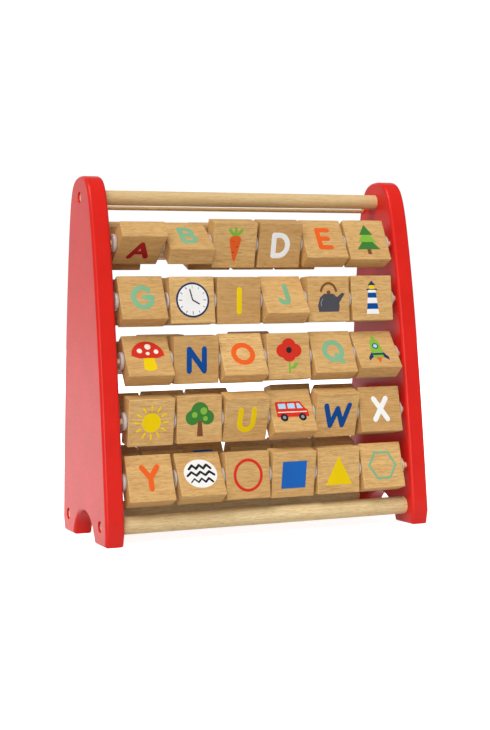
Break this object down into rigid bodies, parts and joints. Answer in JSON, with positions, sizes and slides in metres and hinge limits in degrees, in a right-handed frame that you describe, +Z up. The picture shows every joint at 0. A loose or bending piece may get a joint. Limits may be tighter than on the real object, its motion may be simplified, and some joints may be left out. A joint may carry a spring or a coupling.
{
  "type": "alphabet abacus",
  "caption": "Free-standing wooden toy abacus: tapered side panels joined by round rails, with rows of flat tiles that each spin on a horizontal axle.",
  "frame": {"origin": "on the floor, at the middle of the footprint", "axes": "+X along the rails to the right, +Y to the rear, +Z up"},
  "size_m": [0.2912, 0.1318, 0.2998],
  "materials": {
    "red_paint": "red satin paint",
    "tile_wood": "natural beech, fine sanded",
    "rail_wood": "pale natural wood",
    "bead_paint": "off-white satin paint",
    "screw_steel": "zinc plated"
  },
  "bodies": {
    "frame": {"left_panel": "red_paint", "right_panel": "red_paint", "top_rail": "rail_wood", "front_bottom_rail": "rail_wood", "rear_bottom_rail": "rail_wood", "rear_top_rod": "rail_wood", "left_top_screw": "screw_steel", "left_front_screw": "screw_steel", "left_rear_screw": "screw_steel", "right_top_screw": "screw_steel", "right_front_screw": "screw_steel", "right_rear_screw": "screw_steel", "front_axle_1": "bead_paint", "rear_axle_1": "bead_paint", "front_axle_2": "bead_paint", "rear_axle_2": "bead_paint", "front_axle_3": "bead_paint", "rear_axle_3": "bead_paint", "front_axle_4": "bead_paint", "rear_axle_4": "bead_paint", "front_axle_5": "bead_paint", "rear_axle_5": "bead_paint"},
    "tile_r1_c1": {"tile_r1_c1": "tile_wood"},
    "tile_r1_c2": {"tile_r1_c2": "tile_wood"},
    "tile_r1_c3": {"tile_r1_c3": "tile_wood"},
    "tile_r1_c4": {"tile_r1_c4": "tile_wood"},
    "tile_r1_c5": {"tile_r1_c5": "tile_wood"},
    "tile_r1_c6": {"tile_r1_c6": "tile_wood"},
    "tile_r2_c1": {"tile_r2_c1": "tile_wood"},
    "tile_r2_c2": {"tile_r2_c2": "tile_wood"},
    "tile_r2_c3": {"tile_r2_c3": "tile_wood"},
    "tile_r2_c4": {"tile_r2_c4": "tile_wood"},
    "tile_r2_c5": {"tile_r2_c5": "tile_wood"},
    "tile_r2_c6": {"tile_r2_c6": "tile_wood"},
    "tile_r3_c1": {"tile_r3_c1": "tile_wood"},
    "tile_r3_c2": {"tile_r3_c2": "tile_wood"},
    "tile_r3_c3": {"tile_r3_c3": "tile_wood"},
    "tile_r3_c4": {"tile_r3_c4": "tile_wood"},
    "tile_r3_c5": {"tile_r3_c5": "tile_wood"},
    "tile_r3_c6": {"tile_r3_c6": "tile_wood"},
    "tile_r4_c1": {"tile_r4_c1": "tile_wood"},
    "tile_r4_c2": {"tile_r4_c2": "tile_wood"},
    "tile_r4_c3": {"tile_r4_c3": "tile_wood"},
    "tile_r4_c4": {"tile_r4_c4": "tile_wood"},
    "tile_r4_c5": {"tile_r4_c5": "tile_wood"},
    "tile_r4_c6": {"tile_r4_c6": "tile_wood"},
    "tile_r5_c1": {"tile_r5_c1": "tile_wood"},
    "tile_r5_c2": {"tile_r5_c2": "tile_wood"},
    "tile_r5_c3": {"tile_r5_c3": "tile_wood"},
    "tile_r5_c4": {"tile_r5_c4": "tile_wood"},
    "tile_r5_c5": {"tile_r5_c5": "tile_wood"},
    "tile_r5_c6": {"tile_r5_c6": "tile_wood"},
    "rear_tiles_1": {"rear_tiles_1": "tile_wood"},
    "rear_tiles_2": {"rear_tiles_2": "tile_wood"},
    "rear_tiles_3": {"rear_tiles_3": "tile_wood"},
    "rear_tiles_4": {"rear_tiles_4": "tile_wood"},
    "rear_tiles_5": {"rear_tiles_5": "tile_wood"}
  },
  "joints": [
    {"name": "spin_r1_c1", "type": "hinge", "parent": "frame", "child": "tile_r1_c1", "pos_m": [-0.104, -0.0264, 0.24332], "axis": [1, 0, 0], "continuous": true},
    {"name": "spin_r1_c2", "type": "hinge", "parent": "frame", "child": "tile_r1_c2", "pos_m": [-0.0624, -0.0264, 0.24332], "axis": [1, 0, 0], "continuous": true},
    {"name": "spin_r1_c3", "type": "hinge", "parent": "frame", "child": "tile_r1_c3", "pos_m": [-0.0208, -0.0264, 0.24332], "axis": [1, 0, 0], "continuous": true},
    {"name": "spin_r1_c4", "type": "hinge", "parent": "frame", "child": "tile_r1_c4", "pos_m": [0.0208, -0.0264, 0.24332], "axis": [1, 0, 0], "continuous": true},
    {"name": "spin_r1_c5", "type": "hinge", "parent": "frame", "child": "tile_r1_c5", "pos_m": [0.0624, -0.0264, 0.24332], "axis": [1, 0, 0], "continuous": true},
    {"name": "spin_r1_c6", "type": "hinge", "parent": "frame", "child": "tile_r1_c6", "pos_m": [0.104, -0.0264, 0.24332], "axis": [1, 0, 0], "continuous": true},
    {"name": "spin_rear_1", "type": "hinge", "parent": "frame", "child": "rear_tiles_1", "pos_m": [0, 0.0264, 0.24332], "axis": [1, 0, 0], "continuous": true},
    {"name": "spin_r2_c1", "type": "hinge", "parent": "frame", "child": "tile_r2_c1", "pos_m": [-0.1055, -0.03397, 0.19512], "axis": [1, 0, 0], "continuous": true},
    {"name": "spin_r2_c2", "type": "hinge", "parent": "frame", "child": "tile_r2_c2", "pos_m": [-0.0624, -0.03397, 0.19512], "axis": [1, 0, 0], "continuous": true},
    {"name": "spin_r2_c3", "type": "hinge", "parent": "frame", "child": "tile_r2_c3", "pos_m": [-0.0208, -0.03397, 0.19512], "axis": [1, 0, 0], "continuous": true},
    {"name": "spin_r2_c4", "type": "hinge", "parent": "frame", "child": "tile_r2_c4", "pos_m": [0.0208, -0.03397, 0.19512], "axis": [1, 0, 0], "continuous": true},
    {"name": "spin_r2_c5", "type": "hinge", "parent": "frame", "child": "tile_r2_c5", "pos_m": [0.0624, -0.03397, 0.19512], "axis": [1, 0, 0], "continuous": true},
    {"name": "spin_r2_c6", "type": "hinge", "parent": "frame", "child": "tile_r2_c6", "pos_m": [0.104, -0.03397, 0.19512], "axis": [1, 0, 0], "continuous": true},
    {"name": "spin_rear_2", "type": "hinge", "parent": "frame", "child": "rear_tiles_2", "pos_m": [0, 0.03397, 0.19512], "axis": [1, 0, 0], "continuous": true},
    {"name": "spin_r3_c1", "type": "hinge", "parent": "frame", "child": "tile_r3_c1", "pos_m": [-0.1034, -0.03999, 0.14691], "axis": [1, 0, 0], "continuous": true},
    {"name": "spin_r3_c2", "type": "hinge", "parent": "frame", "child": "tile_r3_c2", "pos_m": [-0.0618, -0.03999, 0.14691], "axis": [1, 0, 0], "continuous": true},
    {"name": "spin_r3_c3", "type": "hinge", "parent": "frame", "child": "tile_r3_c3", "pos_m": [-0.0202, -0.03999, 0.14691], "axis": [1, 0, 0], "continuous": true},
    {"name": "spin_r3_c4", "type": "hinge", "parent": "frame", "child": "tile_r3_c4", "pos_m": [0.0214, -0.03999, 0.14691], "axis": [1, 0, 0], "continuous": true},
    {"name": "spin_r3_c5", "type": "hinge", "parent": "frame", "child": "tile_r3_c5", "pos_m": [0.063, -0.03999, 0.14691], "axis": [1, 0, 0], "continuous": true},
    {"name": "spin_r3_c6", "type": "hinge", "parent": "frame", "child": "tile_r3_c6", "pos_m": [0.1046, -0.03999, 0.14691], "axis": [1, 0, 0], "continuous": true},
    {"name": "spin_rear_3", "type": "hinge", "parent": "frame", "child": "rear_tiles_3", "pos_m": [0, 0.03999, 0.14691], "axis": [1, 0, 0], "continuous": true},
    {"name": "spin_r4_c1", "type": "hinge", "parent": "frame", "child": "tile_r4_c1", "pos_m": [-0.1034, -0.04503, 0.09871], "axis": [1, 0, 0], "continuous": true},
    {"name": "spin_r4_c2", "type": "hinge", "parent": "frame", "child": "tile_r4_c2", "pos_m": [-0.0618, -0.04503, 0.09871], "axis": [1, 0, 0], "continuous": true},
    {"name": "spin_r4_c3", "type": "hinge", "parent": "frame", "child": "tile_r4_c3", "pos_m": [-0.0202, -0.04503, 0.09871], "axis": [1, 0, 0], "continuous": true},
    {"name": "spin_r4_c4", "type": "hinge", "parent": "frame", "child": "tile_r4_c4", "pos_m": [0.0214, -0.04503, 0.09871], "axis": [1, 0, 0], "continuous": true},
    {"name": "spin_r4_c5", "type": "hinge", "parent": "frame", "child": "tile_r4_c5", "pos_m": [0.063, -0.04503, 0.09871], "axis": [1, 0, 0], "continuous": true},
    {"name": "spin_r4_c6", "type": "hinge", "parent": "frame", "child": "tile_r4_c6", "pos_m": [0.1046, -0.04503, 0.09871], "axis": [1, 0, 0], "continuous": true},
    {"name": "spin_rear_4", "type": "hinge", "parent": "frame", "child": "rear_tiles_4", "pos_m": [0, 0.04503, 0.09871], "axis": [1, 0, 0], "continuous": true},
    {"name": "spin_r5_c1", "type": "hinge", "parent": "frame", "child": "tile_r5_c1", "pos_m": [-0.10622, -0.04939, 0.0505], "axis": [1, 0, 0], "continuous": true},
    {"name": "spin_r5_c2", "type": "hinge", "parent": "frame", "child": "tile_r5_c2", "pos_m": [-0.06312, -0.04939, 0.0505], "axis": [1, 0, 0], "continuous": true},
    {"name": "spin_r5_c3", "type": "hinge", "parent": "frame", "child": "tile_r5_c3", "pos_m": [-0.02152, -0.04939, 0.0505], "axis": [1, 0, 0], "continuous": true},
    {"name": "spin_r5_c4", "type": "hinge", "parent": "frame", "child": "tile_r5_c4", "pos_m": [0.02008, -0.04939, 0.0505], "axis": [1, 0, 0], "continuous": true},
    {"name": "spin_r5_c5", "type": "hinge", "parent": "frame", "child": "tile_r5_c5", "pos_m": [0.06168, -0.04939, 0.0505], "axis": [1, 0, 0], "continuous": true},
    {"name": "spin_r5_c6", "type": "hinge", "parent": "frame", "child": "tile_r5_c6", "pos_m": [0.10328, -0.04939, 0.0505], "axis": [1, 0, 0], "continuous": true},
    {"name": "spin_rear_5", "type": "hinge", "parent": "frame", "child": "rear_tiles_5", "pos_m": [0, 0.04939, 0.0505], "axis": [1, 0, 0], "continuous": true}
  ]
}
